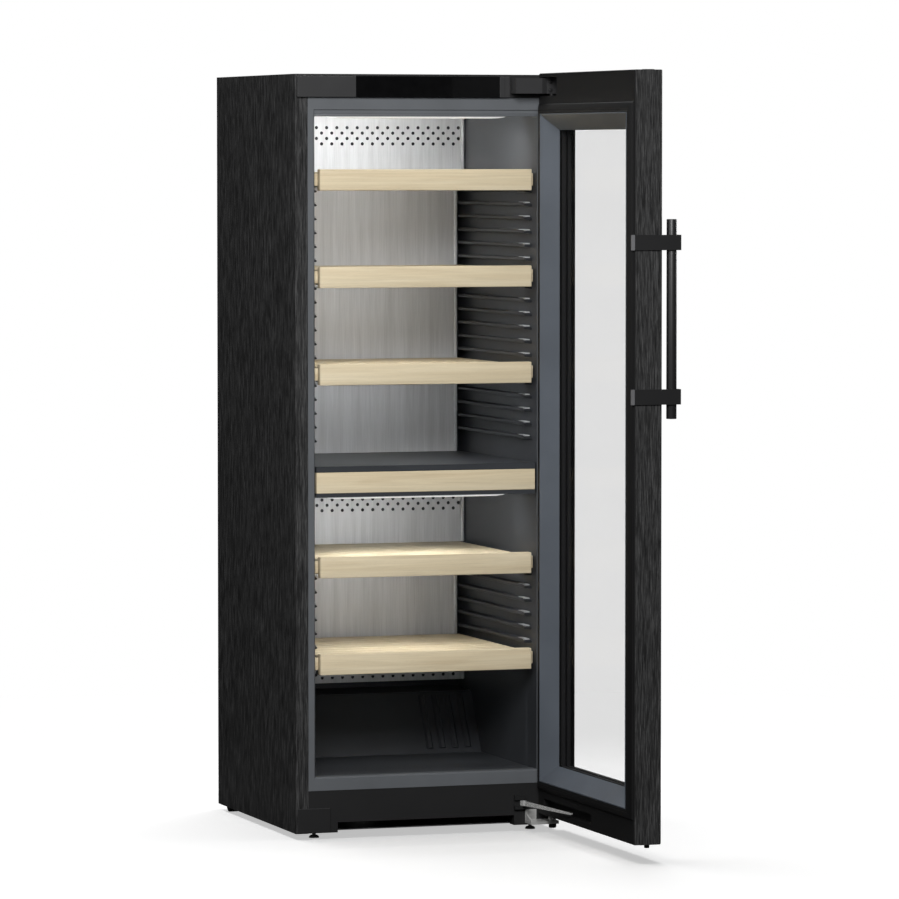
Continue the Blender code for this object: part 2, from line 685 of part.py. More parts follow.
def door_glass():
    """Three panes with a spacer between each two."""
    x0, x1, z0, z1 = inset(BEVEL_OUTER, BEVEL_RUN - 9.5)
    pieces = []
    panes = {"glass_inner": (-38.6, -34.6), "glass_middle": (-52.4, -47.8), "glass_outer": (-65.3, -60.6)}
    for name, depth in panes.items():
        pieces.append(box(name, (x0, x1), depth, (z0, z1), GLASS))
    outer = (x0 + 0.5, x1 - 0.5, z0 + 0.5, z1 - 0.5)
    inner = inset(BEVEL_OUTER, BEVEL_RUN)
    for name, (far, near) in {"spacer_inner": (-47.5, -38.9), "spacer_outer": (-60.3, -52.7)}.items():
        pieces.append(rect_ring(name, [(*outer, far), (*outer, near), (*inner, near), (*inner, far)], BLACK_PLASTIC))
    return pieces


def handle():
    """Round bar held by two brackets that wrap the door's free edge, each with a pusher at its inner end."""
    near, far = HANDLE_PLATE
    pieces = []
    bar = rod("handle_bar", (*BAR_CENTRE, sum(BAR_ENDS) / 2), BAR_RADIUS, BAR_ENDS[1] - BAR_ENDS[0],
              finish=BLACK_STEEL, sides=32)
    bevel(bar, 0.8, angle=60)
    pieces.append(bar)
    hook = BAR_CENTRE[0] + BAR_RADIUS + 1.0
    leg = BAR_CENTRE[1] - BAR_RADIUS - 0.5
    for where, height in BRACKETS.items():
        span = (height - BRACKET_HEIGHT / 2, height + BRACKET_HEIGHT / 2)
        bracket = extruded("handle_bracket_" + where, [
            (near, HANDLE_REACH), (hook, HANDLE_REACH), (hook, leg), (far, leg), (far, HANDLE_NOSE),
            (near, HANDLE_NOSE),
        ], "z", span, BLACK_STEEL)
        pusher = box("handle_pusher_" + where, (near, far), (HANDLE_NOSE + GAP, GASKET_FACE), span, BLACK_PLASTIC)
        pieces += [bracket, pusher]
    return pieces


def door():
    axis = empty_at("door_hinge_axis", (HINGE_X, HINGE_Y, 0))
    hang_on(axis, *door_frame(), door_trim(), door_gasket(), *door_glass(), *handle())
    axis.rotation_euler.z = math.radians(90)


def place_on_origin():
    """Puts the row origin at the middle of the object's footprint, on the floor, with the door open."""
    x_high = HINGE_X + (HINGE_Y - HANDLE_REACH)
    y_low = HINGE_Y + (HANDLE_PLATE[0] - HINGE_X)
    shift = Vector((-x_high / 2, -(y_low + DEPTH) / 2, 0)) * MM
    for item in bpy.data.objects:
        if item.parent is None:
            item.matrix_world = Matrix.Translation(shift) @ item.matrix_world


def main():
    side_panels()
    top_and_rear_panels()
    insulation()
    front_frame()
    liner()
    air_panels()
    zone_divider()
    light_bar()
    fascia()
    plinth()
    feet()
    rollers()
    compressor()
    condenser()
    drain_tray()
    mains_inlet()
    evaporators()
    fans()
    shelves()
    upper_hinge()
    lower_hinge()
    closer()
    door()
    bpy.context.view_layer.update()
    place_on_origin()


main()
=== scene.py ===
"""Looks of the open wine cooler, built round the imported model.

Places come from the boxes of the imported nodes. Sizes of details are in millimetres, through MM.
Axes are the row frame's: the cabinet faces -Y, Z is up, and the door stands open at the right.
"""

import math

import bmesh
import bpy
from mathutils import Matrix, Vector


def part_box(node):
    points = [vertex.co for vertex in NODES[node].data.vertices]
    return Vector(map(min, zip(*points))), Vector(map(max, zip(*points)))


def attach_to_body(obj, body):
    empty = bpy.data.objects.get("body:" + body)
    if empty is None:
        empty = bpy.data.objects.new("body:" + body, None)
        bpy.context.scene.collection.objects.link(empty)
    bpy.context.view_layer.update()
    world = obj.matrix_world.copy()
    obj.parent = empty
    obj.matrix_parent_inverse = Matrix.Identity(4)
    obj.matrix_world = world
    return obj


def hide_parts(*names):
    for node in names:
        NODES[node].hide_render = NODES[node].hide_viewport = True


MM = 0.001
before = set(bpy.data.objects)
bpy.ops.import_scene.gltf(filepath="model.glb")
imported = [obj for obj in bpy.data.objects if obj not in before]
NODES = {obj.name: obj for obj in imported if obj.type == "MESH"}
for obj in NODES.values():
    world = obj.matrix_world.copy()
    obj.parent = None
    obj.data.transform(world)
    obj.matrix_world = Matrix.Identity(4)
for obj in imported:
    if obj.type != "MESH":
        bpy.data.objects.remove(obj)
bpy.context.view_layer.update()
SHELVES = [f"shelf_{i}" for i in range(1, 6)]


# ---------------------------------------------------------------- materials

class Shader:
    """A material's node tree, with short names for what is used most."""

    def __init__(self, name, colour, roughness, metallic=0.0, specular=0.5):
        self.material = bpy.data.materials.new(name)
        self.material.use_nodes = True
        self.tree = self.material.node_tree
        self.surface = self.tree.nodes["Principled BSDF"]
        self.output = self.tree.nodes["Material Output"]
        self.set(self.surface, "Base Color", (*colour, 1))
        self.set(self.surface, "Roughness", roughness)
        self.set(self.surface, "Metallic", metallic)
        self.set(self.surface, "Specular IOR Level", specular)
        self.material.diffuse_color = (*colour, 1)
        self.bump_chain = None

    @staticmethod
    def set(node, socket, value):
        node.inputs[socket].default_value = value

    def node(self, kind, **inputs):
        made = self.tree.nodes.new(kind)
        for socket, value in inputs.items():
            self.set(made, socket.replace("_", " "), value)
        return made

    def link(self, output, socket):
        self.tree.links.new(output, socket)

    def place(self, scale, turn=(0, 0, 0)):
        """Object coordinates in metres, stretched by scale."""
        coordinates = self.node("ShaderNodeTexCoord")
        mapping = self.node("ShaderNodeMapping", Scale=scale, Rotation=turn)
        self.link(coordinates.outputs["Object"], mapping.inputs["Vector"])
        return mapping.outputs["Vector"]

    def noise(self, scale, detail=4.0, roughness=0.55, distortion=0.0, turn=(0, 0, 0)):
        made = self.node("ShaderNodeTexNoise", Scale=1.0, Detail=detail, Roughness=roughness,
                         Distortion=distortion)
        self.link(self.place(scale, turn), made.inputs["Vector"])
        return made.outputs["Fac"]

    def ramp(self, value, stops):
        """stops are (position, grey or colour)."""
        made = self.node("ShaderNodeValToRGB")
        elements = made.color_ramp.elements
        while len(elements) < len(stops):
            elements.new(0.5)
        for element, (position, colour) in zip(elements, stops):
            element.position = position
            element.color = (*colour, 1) if isinstance(colour, tuple) else (colour, colour, colour, 1)
        self.link(value, made.inputs["Fac"])
        return made.outputs["Color"]

    def mix(self, amount, first, second, blend="MIX"):
        """Mixes two colours, each an output or a fixed colour."""
        made = self.tree.nodes.new("ShaderNodeMix")
        made.data_type = "RGBA"
        made.blend_type = blend
        sockets = [made.inputs[0], made.inputs[6], made.inputs[7]]
        for socket, value in zip(sockets, (amount, first, second)):
            if isinstance(value, bpy.types.NodeSocket):
                self.link(value, socket)
            elif isinstance(value, tuple):
                socket.default_value = (*value, 1)
            else:
                socket.default_value = value
        return made.outputs[2]

    def colour(self, output):
        self.link(output, self.surface.inputs["Base Color"])

    def roughness(self, value, low, high):
        made = self.node("ShaderNodeMapRange")
        self.set(made, "To Min", low)
        self.set(made, "To Max", high)
        self.link(value, made.inputs["Value"])
        self.link(made.outputs["Result"], self.surface.inputs["Roughness"])

    def bump(self, height, strength, distance):
        made = self.node("ShaderNodeBump", Strength=strength, Distance=distance)
        self.link(height, made.inputs["Height"])
        if self.bump_chain:
            self.link(self.bump_chain, made.inputs["Normal"])
        self.bump_chain = made.outputs["Normal"]
        self.link(self.bump_chain, self.surface.inputs["Normal"])


def brushed_black():
    """Black steel with long vertical brush marks and softer streaks between them."""
    shader = Shader("brushed_black", (0.03, 0.03, 0.0305), 0.5, 0.0, 0.12)
    fine = shader.noise((900, 420, 40), 5, 0.7)
    streaks = shader.noise((400, 125, 19), 5, 0.7, 0.4)
    blotches = shader.noise((30, 12, 6), 3)
    base = shader.ramp(streaks, [(0.38, (0.0110, 0.0110, 0.0112)), (0.5, (0.0290, 0.0290, 0.0294)),
                                 (0.62, (0.0600, 0.0600, 0.0605))])
    worn = shader.mix(0.6, base, shader.ramp(fine, [(0.3, 0.3), (0.7, 1.6)]), "MULTIPLY")
    shader.colour(shader.mix(0.5, worn, shader.ramp(blotches, [(0.3, 0.72), (0.7, 1.2)]), "MULTIPLY"))
    shader.roughness(streaks, 0.42, 0.62)
    shader.bump(streaks, 0.5, 0.0008)
    shader.bump(fine, 0.3, 0.0003)
    return shader.material


def grained_plastic(name, colour, roughness, grain=1.0, specular=0.35):
    """Moulded plastic with a fine leathery grain and faint tone changes."""
    shader = Shader(name, colour, roughness, 0.0, specular)
    grain_noise = shader.noise((1600, 1600, 1600), 3, 0.6)
    cloud = shader.noise((7, 7, 7), 3)
    low = tuple(c * 0.9 for c in colour)
    high = tuple(c * 1.1 for c in colour)
    shader.colour(shader.ramp(cloud, [(0.3, low), (0.7, high)]))
    shader.roughness(grain_noise, roughness - 0.06, roughness + 0.08)
    shader.bump(grain_noise, 0.25 * grain, 0.00015)
    return shader.material


def gloss_black():
    shader = Shader("gloss_display", (0.0022, 0.0022, 0.0024), 0.06, 0.0, 0.35)
    haze = shader.noise((60, 60, 60), 3)
    shader.roughness(haze, 0.04, 0.09)
    shader.colour(shader.ramp(haze, [(0.3, (0.0018, 0.0018, 0.002)), (0.7, (0.003, 0.003, 0.0033))]))
    return shader.material


def brushed_stainless():
    """Pale sheet steel with vertical brush lines, patchy from rolling."""
    shader = Shader("brushed_stainless", (0.6, 0.6, 0.61), 0.48, 0.55, 0.4)
    lines = shader.noise((1100, 1100, 9), 4, 0.7)
    wide = shader.noise((75, 75, 3), 4, 0.6)
    tone = shader.ramp(wide, [(0.3, (0.52, 0.525, 0.535)), (0.7, (0.64, 0.645, 0.655))])
    shader.colour(shader.mix(0.4, tone, shader.ramp(lines, [(0.3, 0.6), (0.7, 1.25)]), "MULTIPLY"))
    shader.roughness(wide, 0.44, 0.54)
    shader.bump(lines, 0.2, 0.0002)
    return shader.material


def bright_metal(name, tone, roughness, metallic=0.4):
    """Zinc plated or rolled metal with faint scratches and clouding."""
    shader = Shader(name, tone, roughness, metallic)
    cloud = shader.noise((90, 90, 90), 4)
    scratch = shader.noise((700, 60, 700), 3, 0.6, turn=(0.3, 0.2, 0.5))
    shader.colour(shader.ramp(cloud, [(0.3, tuple(c * 0.82 for c in tone)), (0.7, tone)]))
    shader.roughness(scratch, roughness - 0.08, roughness + 0.14)
    shader.bump(scratch, 0.12, 0.0001)
    return shader.material


def beech():
    """Pale beech: long quiet grain along X, growth bands, and short darker rays."""
    shader = Shader("beech", (0.66, 0.56, 0.38), 0.5, 0.0, 0.3)
    grain = shader.noise((8, 200, 300), 5, 0.6, 0.6)
    bands = shader.noise((2.0, 30, 42), 3, 0.5, 1.2)
    flecks = shader.noise((120, 900, 1500), 2, 0.5)
    tone = shader.ramp(bands, [(0.3, (0.585, 0.485, 0.325)), (0.5, (0.64, 0.545, 0.375)),
                               (0.7, (0.69, 0.60, 0.43))])
    tone = shader.mix(0.3, tone, shader.ramp(grain, [(0.34, 0.78), (0.62, 1.1)]), "MULTIPLY")
    shader.colour(shader.mix(0.15, tone, shader.ramp(flecks, [(0.25, 0.6), (0.45, 1.05)]), "MULTIPLY"))
    shader.roughness(grain, 0.42, 0.62)
    shader.bump(grain, 0.15, 0.0003)
    shader.bump(flecks, 0.1, 0.0002)
    return shader.material


def pane_glass():
    """Clear pane: almost all light passes each face, with a faint grey tint and shine."""
    shader = Shader("pane_glass", (0.02, 0.02, 0.02), 0.04, 0.0, 0.4)
    shader.set(shader.surface, "Alpha", 0.053)
    shader.roughness(shader.noise((5, 5, 5), 2), 0.03, 0.06)
    return shader.material


def lit_lens():
    shader = Shader("lit_lens", (0.3, 0.3, 0.3), 0.3)
    shader.set(shader.surface, "Emission Color", (0.97, 0.985, 1.0, 1))
    shader.set(shader.surface, "Emission Strength", 0.55)
    ripple = shader.noise((400, 400, 400), 2)
    shader.roughness(ripple, 0.25, 0.4)
    return shader.material


def soft_foam():
    """Foam that shows only in the compressor's niche, in the dark tone of the skin over it."""
    shader = Shader("foam", (0.040, 0.040, 0.042), 0.9)
    shader.bump(shader.noise((500, 500, 500), 4), 0.6, 0.001)
    return shader.material


BLACK_STEEL = brushed_black()
BLACK_PLASTIC = grained_plastic("black_plastic", (0.0105, 0.0105, 0.011), 0.5)
FASCIA_PLASTIC = grained_plastic("fascia_plastic", (0.026, 0.026, 0.027), 0.45)
DARK_PLASTIC = grained_plastic("dark_plastic", (0.006, 0.006, 0.0065), 0.55)
TAB_PLASTIC = grained_plastic("tab_plastic", (0.12, 0.12, 0.125), 0.4)
GREY_PLASTIC = grained_plastic("grey_plastic", (0.103, 0.110, 0.119), 0.46)
TRIM_PLASTIC = grained_plastic("trim_plastic", (0.080, 0.092, 0.110), 0.46)
LINER_PLASTIC = grained_plastic("liner_plastic", (0.034, 0.037, 0.042), 0.42)
RIB_PLASTIC = grained_plastic("rib_plastic", (0.017, 0.018, 0.021), 0.4)
# Pale, glossy plastic for strips on the ledges' noses: a painted highlight where light catches their front
# ends.
RIB_NOSE_HIGHLIGHT_PLASTIC = grained_plastic("rib_nose_painted_highlight", (0.34, 0.35, 0.36), 0.3)
DOOR_PLASTIC = grained_plastic("door_inner_plastic", (0.0075, 0.0075, 0.0078), 0.5, 0.6, 0.2)
RUBBER = grained_plastic("gasket_rubber", (0.0065, 0.0065, 0.0068), 0.6, 1.0, 0.2)
DISPLAY = gloss_black()
STAINLESS = brushed_stainless()
ZINC = bright_metal("zinc_plate", (0.62, 0.62, 0.61), 0.32)
CHROME = bright_metal("runner_steel", (0.78, 0.78, 0.77), 0.24)
COPPER = bright_metal("copper_pipe", (0.72, 0.36, 0.2), 0.34)
ALUMINIUM = bright_metal("aluminium_fin", (0.66, 0.67, 0.68), 0.38)
SATIN_BLACK = grained_plastic("satin_black", (0.012, 0.012, 0.0125), 0.38, 0.5, 0.45)
BEECH = beech()
GLASS = pane_glass()
LENS = lit_lens()
FOAM = soft_foam()


# ---------------------------------------------------------------- shapes

def finish_mesh(name, bm, material, body, replaced=(), sharp=32):
    """Makes the piece, smooths it up to the angle sharp, and lets it ride on a body."""
    bmesh.ops.recalc_face_normals(bm, faces=bm.faces)
    mesh = bpy.data.meshes.new(name)
    bm.to_mesh(mesh)
    bm.free()
    mesh.materials.append(material)
    mesh.shade_smooth()
    mesh.set_sharp_from_angle(angle=math.radians(sharp))
    piece = bpy.data.objects.new(name, mesh)
    bpy.context.scene.collection.objects.link(piece)
    return attach(piece, body, replaced)


def attach(piece, body, replaced=()):
    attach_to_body(piece, body)
    if replaced:
        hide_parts(*replaced)
    return piece


def add_block(bm, x, y, z, radius=0.0, segments=3):
    """A box with rounded edges, added to bm."""
    made = bmesh.ops.create_cube(bm, size=1)["verts"]
    size = Vector((x[1] - x[0], y[1] - y[0], z[1] - z[0]))
    bmesh.ops.scale(bm, verts=made, vec=size)
    bmesh.ops.translate(bm, verts=made, vec=((x[0] + x[1]) / 2, (y[0] + y[1]) / 2, (z[0] + z[1]) / 2))
    if radius:
        edges = list({edge for vert in made for edge in vert.link_edges})
        bmesh.ops.bevel(bm, geom=edges, offset=radius, segments=segments, profile=0.5, affect="EDGES")


def add_rod(bm, centre, radius, length, axis="z", sides=24, far_radius=None, rim=0.0):
    """A cylinder or cone along axis, added to bm, with rounded rims."""
    made = bmesh.ops.create_cone(bm, cap_ends=True, segments=sides, radius1=radius,
                                 radius2=radius if far_radius is None else far_radius, depth=length)["verts"]
    turns = {"z": Matrix.Identity(3), "x": Matrix.Rotation(math.radians(90), 3, "Y"),
             "y": Matrix.Rotation(math.radians(-90), 3, "X")}
    bmesh.ops.rotate(bm, verts=made, matrix=turns[axis])
    bmesh.ops.translate(bm, verts=made, vec=centre)
    if rim:
        touching = {e for v in made for e in v.link_edges}
        edges = [e for e in touching if any(len(f.verts) > 4 for f in e.link_faces)]
        bmesh.ops.bevel(bm, geom=edges, offset=rim, segments=3, profile=0.5, affect="EDGES")


def add_prism(bm, outline, axis, low, high):
    """Pushes an outline along axis. Points are (Y, Z) for x, (X, Z) for y and (X, Y) for z."""
    def corner(point, along):
        u, v = point
        return {"x": (along, u, v), "y": (u, along, v), "z": (u, v, along)}[axis]
    ends = [[bm.verts.new(corner(point, along)) for point in outline] for along in (low, high)]
    for side in ends:
        bm.faces.new(side)
    for i in range(len(outline)):
        j = (i + 1) % len(outline)
        bm.faces.new((ends[0][i], ends[0][j], ends[1][j], ends[1][i]))


def add_ring(bm, loops):
    """A closed frame lofted through rectangles (u0, u1, z0, z1, depth) that stand across the X axis."""
    rows = []
    for y0, y1, z0, z1, x in loops:
        rows.append([bm.verts.new(p) for p in ((x, y0, z0), (x, y1, z0), (x, y1, z1), (x, y0, z1))])
    for here, there in zip(rows, rows[1:] + rows[:1]):
        for i in range(4):
            j = (i + 1) % 4
            bm.faces.new((here[i], here[j], there[j], there[i]))


def tube(name, points, radius, material, body):
    """A round pipe along smooth points."""
    curve = bpy.data.curves.new(name, "CURVE")
    curve.dimensions = "3D"
    curve.bevel_depth = radius
    curve.bevel_resolution = 3
    curve.use_fill_caps = True
    spline = curve.splines.new("BEZIER")
    spline.bezier_points.add(len(points) - 1)
    for target, point in zip(spline.bezier_points, points):
        target.co = point
        target.handle_left_type = "AUTO"
        target.handle_right_type = "AUTO"
    curve.materials.append(material)
    piece = bpy.data.objects.new(name, curve)
    bpy.context.scene.collection.objects.link(piece)
    return attach(piece, body, ())


def two_tone(node, body, outside, inside, is_outside):
    """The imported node's own shape with a second finish on some of its faces."""
    mesh = NODES[node].data.copy()
    mesh.name = node + "_finish"
    mesh.materials.clear()
    mesh.materials.append(outside)
    mesh.materials.append(inside)
    for face in mesh.polygons:
        face.material_index = 0 if is_outside(face) else 1
    piece = bpy.data.objects.new(node + "_two_tone", mesh)
    bpy.context.scene.collection.objects.link(piece)
    return attach(piece, body, (node,))


def dress(material, *names):
    """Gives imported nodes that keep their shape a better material."""
    for name in names:
        mesh = NODES[name].data
        mesh.materials.clear()
        mesh.materials.append(material)


def span(node, axis):
    low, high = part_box(node)
    return low[axis], high[axis]


# ---------------------------------------------------------------- cooled space

def low_z(node):
    return span(node, 2)[0]


OPENING_LEFT = span("liner_left", 0)[0] + 2 * MM
OPENING_RIGHT = span("liner_right", 0)[1] - 2 * MM
OPENING_TOP = span("liner_left", 2)[1]
LINER_FRONT = span("liner_left", 1)[0]
AIR_PANEL_Y = span("air_panel_upper", 1)[0]
RIB_REACH = span("liner_left", 0)[1] - OPENING_LEFT
RIB_PITCH = 30 * MM
RIB_ROWS = ((1434.7 * MM, 20), (597.0 * MM, 9))
SLOPE_FOOT = 337.7 * MM
SLOPE_HEAD = 411.7 * MM


def add_rib(bm, wall, way, top):
    """One ledge: flat top, sloped underside, and a nose that ramps down at the front."""
    back = AIR_PANEL_Y - 2 * MM
    sections = [
        (LINER_FRONT + 0.5 * MM, 0.9, 4.6), (LINER_FRONT + 2 * MM, 0.97, 3.6),
        (LINER_FRONT + 15 * MM, 1.0, 0.7), (LINER_FRONT + 18 * MM, 1.0, 0.0), (back, 1.0, 0.0),
    ]
    rows = []
    for y, share, drop in sections:
        reach = wall + way * RIB_REACH * share
        crown = top - drop * MM
        outline = [(wall - way * MM, crown), (reach - way * 1.2 * MM, crown), (reach, crown - 1.1 * MM),
                   (reach, top - 6.6 * MM), (reach - way * 1.5 * MM, top - 7.6 * MM),
                   (wall - way * MM, top - 9 * MM)]
        rows.append([bm.verts.new((x, y, z)) for x, z in outline])
    count = len(rows[0])
    for here, there in zip(rows, rows[1:]):
        for i in range(count):
            j = (i + 1) % count
            bm.faces.new((here[i], here[j], there[j], there[i]))
    bm.faces.new(rows[0])
    bm.faces.new(rows[-1])


def liner_wall(side, wall, way):
    """A side wall's plate with its slanted lower corner, all its ledges, and pale strips on the ledges'
    noses that are a painted highlight.
    """
    node = "liner_" + side
    low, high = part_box(node)
    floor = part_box("liner_floor")
    plate = bmesh.new()
    slope_foot = floor[0].y + SLOPE_FOOT
    slope_head = floor[0].y + SLOPE_HEAD
    outline = [(low.y, low.z), (slope_foot, low.z), (slope_head, low.z + 132 * MM),
               (high.y, low.z + 138 * MM), (high.y, high.z), (low.y, high.z)]
    edges = sorted((wall, wall - way * 2 * MM))
    add_prism(plate, outline, "x", *edges)
    finish_mesh("liner_plate_" + side, plate, LINER_PLASTIC, "cabinet", (node,))
    ribs = bmesh.new()
    for top, count in RIB_ROWS:
        for i in range(count):
            add_rib(ribs, wall, way, top - RIB_PITCH * i)
    finish_mesh("liner_ribs_" + side, ribs, RIB_PLASTIC, "cabinet", (), sharp=25)
    # Pale strips on the front ends of the ledges' tops: a painted highlight on the ledge noses.
    stops = bmesh.new()
    for top, count in RIB_ROWS:
        for i in range(count):
            z = top - RIB_PITCH * i
            across = sorted((wall + way * 3 * MM, wall + way * 15 * MM))
            along = (LINER_FRONT + 3 * MM, LINER_FRONT + 46 * MM)
            add_block(stops, across, along, (z - 2 * MM, z + 1.1 * MM), 0.9 * MM, 2)
    finish_mesh("liner_rib_painted_highlights_" + side, stops, RIB_NOSE_HIGHLIGHT_PLASTIC, "cabinet", ())


def liner_walls():
    liner_wall("left", OPENING_LEFT, 1)
    liner_wall("right", OPENING_RIGHT, -1)
    dress(LINER_PLASTIC, "liner_top", "liner_rear", "liner_floor", "zone_divider")


HOLE_RADIUS = 3.9 * MM
CELL = 12.0 * MM
ROW_PITCH = 12.1 * MM
HOLE_SIDES = 12


def add_holed_cell(bm, x, z, y_front, y_back, holed):
    """A cell of a perforated sheet: a square of sheet with or without a round hole through it."""
    corners = [(x, z), (x + CELL, z), (x + CELL, z + ROW_PITCH), (x, z + ROW_PITCH)]
    if not holed:
        for y in (y_front, y_back):
            bm.faces.new([bm.verts.new((u, y, v)) for u, v in corners])
        return
    middle = (x + CELL / 2, z + ROW_PITCH / 2)
    circle = []
    for i in range(HOLE_SIDES):
        angle = 2 * math.pi * i / HOLE_SIDES - math.pi * 3 / 4
        circle.append((middle[0] + HOLE_RADIUS * math.cos(angle), middle[1] + HOLE_RADIUS * math.sin(angle)))
    per_side = HOLE_SIDES // 4
    rims = []
    for y in (y_front, y_back):
        outer = [bm.verts.new((u, y, v)) for u, v in corners]
        inner = [bm.verts.new((u, y, v)) for u, v in circle]
        rims.append(inner)
        for side in range(4):
            arc = [inner[(side * per_side + k) % HOLE_SIDES] for k in range(per_side + 1)]
            bm.faces.new([outer[side], outer[(side + 1) % 4], *reversed(arc)])
    for i in range(HOLE_SIDES):
        j = (i + 1) % HOLE_SIDES
        bm.faces.new((rims[0][i], rims[0][j], rims[1][j], rims[1][i]))


def air_panel(node, bands, narrow, lift=0.0):
    """Stainless sheet with bands of staggered holes.

    bands are (lowest row's height, rows). The sheet is wall to wall except from narrow[0] to
    narrow[1], where it lies between the ledges. Its side edges are folded forward, and its lower
    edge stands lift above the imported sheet's.
    """
    low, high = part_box(node)
    foot = low.z + lift
    bm = bmesh.new()
    wide = (OPENING_LEFT + 1.2 * MM, OPENING_RIGHT - 1.2 * MM)
    start = low.x + 2.1 * MM - CELL
    columns = 41
    spans = []
    for lowest, rows in sorted(bands):
        bottom = lowest - ROW_PITCH / 2
        spans.append((bottom, bottom + rows * ROW_PITCH))
        for row in range(rows):
            for column in range(columns):
                holed = (row + column) % 2 == 1
                add_holed_cell(bm, start + column * CELL, bottom + row * ROW_PITCH, low.y, high.y, holed)
        for x0, x1 in ((wide[0], start), (start + columns * CELL, wide[1])):
            add_block(bm, (x0, x1), (low.y, high.y), spans[-1])
    solid = [foot] + [z for pair in spans for z in pair] + [high.z]
    for z0, z1 in zip(solid[::2], solid[1::2]):
        cuts = [z0] + [z for z in narrow if z0 < z < z1] + [z1]
        for bottom, top in zip(cuts, cuts[1:]):
            inside = narrow[0] <= (bottom + top) / 2 <= narrow[1]
            across = (low.x, high.x) if inside else wide
            add_block(bm, across, (low.y, high.y), (bottom, top))
    bmesh.ops.remove_doubles(bm, verts=bm.verts, dist=0.01 * MM)
    finish_mesh(node + "_sheet", bm, STAINLESS, "cabinet", (node,), sharp=40)
    folds = bmesh.new()
    for z0, z1, across in ((foot, narrow[0], wide), (narrow[0], narrow[1], (low.x, high.x)),
                           (narrow[1], high.z, wide)):
        if z1 - z0 < 2 * MM:
            continue
        for x, way in ((across[0], 1), (across[1], -1)):
            depth = (low.y - 6 * MM, low.y - 0.2 * MM)
            add_block(folds, sorted((x, x + way * 8 * MM)), depth, (z0, z1), 2.6 * MM, 4)
    finish_mesh(node + "_folds", folds, STAINLESS, "cabinet", (), sharp=60)


def air_panels():
    air_panel("air_panel_upper", [(1503 * MM, 4)], (low_z("air_panel_upper"), 1440 * MM))
    air_panel("air_panel_lower", [(678 * MM, 4), (300.1 * MM, 2)], (345 * MM, 602 * MM), 14 * MM)


def tapered_bar(bm, low, high, middle, crown, foot, half):
    """A long bar along X whose ends taper up to crown."""
    depth = crown - foot
    rows = []
    for share, width, drop in ((0.0, 0.3, 0.25), (0.015, 0.75, 0.6), (0.045, 1.0, 0.9), (0.08, 1.0, 1.0),
                               (0.92, 1.0, 1.0), (0.955, 1.0, 0.9), (0.985, 0.75, 0.6), (1.0, 0.3, 0.25)):
        x = low + (high - low) * share
        side = half * width
        outline = [(-side, 0), (-side, -depth * drop * 0.5), (-side * 0.7, -depth * drop * 0.9),
                   (-side * 0.3, -depth * drop), (side * 0.3, -depth * drop),
                   (side * 0.7, -depth * drop * 0.9), (side, -depth * drop * 0.5), (side, 0)]
        rows.append([bm.verts.new((x, middle + y, crown + z)) for y, z in outline])
    for here, there in zip(rows, rows[1:]):
        for i in range(len(here)):
            j = (i + 1) % len(here)
            bm.faces.new((here[i], here[j], there[j], there[i]))
    bm.faces.new(rows[0])
    bm.faces.new(rows[-1])


def light_bar(name, crown, replaced=()):
    """A slim dark housing under the ceiling of a zone with a glowing lens along its foot."""
    low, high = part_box("led_light_bar")
    middle = (low.y + high.y) / 2
    foot = crown - (high.z - low.z)
    seam = foot + 4.4 * MM
    housing = bmesh.new()
    tapered_bar(housing, low.x - 14 * MM, high.x + 14 * MM, middle, crown, seam, 13 * MM)
    finish_mesh(name + "_housing", housing, LINER_PLASTIC, "cabinet", (), sharp=50)
    lens = bmesh.new()
    tapered_bar(lens, low.x, high.x, middle, seam, foot, 8 * MM)
    finish_mesh(name + "_lens", lens, LENS, "cabinet", replaced, sharp=50)


def zone_lamp(name, z, power, tilt):
    """A strip of light that shines down and back, in front of the air panel."""
    low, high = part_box("led_light_bar")
    lamp = bpy.data.lights.new(name, "AREA")
    lamp.shape = "RECTANGLE"
    lamp.size = (high.x - low.x) * 0.95
    lamp.size_y = 14 * MM
    lamp.energy = power
    lamp.color = (0.98, 0.99, 1.0)
    made = bpy.data.objects.new(name, lamp)
    made.location = ((low.x + high.x) / 2, (low.y + high.y) / 2, z)
    made.rotation_euler = (math.radians(tilt), 0, 0)
    made.visible_camera = False
    bpy.context.scene.collection.objects.link(made)


def slanted_cover():
    """Broad upright flutes on the slanted cover of the compressor's niche."""
    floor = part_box("liner_floor")
    foot = Vector((0, floor[0].y + SLOPE_FOOT, floor[0].z + 4 * MM))
    head = Vector((0, floor[0].y + SLOPE_HEAD, floor[0].z + 134 * MM))
    along = (head - foot).normalized()
    out = Vector((0, -along.z, along.y))
    bm = bmesh.new()
    start = floor[1].x - 128 * MM
    ends = (foot + along * 10 * MM, head - along * 8 * MM)
    for i in range(4):
        x0 = start + i * 30 * MM
        outline = [(x0, 0.0), (x0 + 4 * MM, 5 * MM), (x0 + 12 * MM, 5 * MM), (x0 + 16 * MM, 0.0)]
        rows = [[bm.verts.new((x, (p + out * h).y, (p + out * h).z)) for x, h in outline] for p in ends]
        for k in range(4):
            bm.faces.new((rows[0][k], rows[0][(k + 1) % 4], rows[1][(k + 1) % 4], rows[1][k]))
        bm.faces.new(rows[0])
        bm.faces.new(rows[1])
    finish_mesh("niche_cover_flutes", bm, LINER_PLASTIC, "cabinet", (), sharp=25)


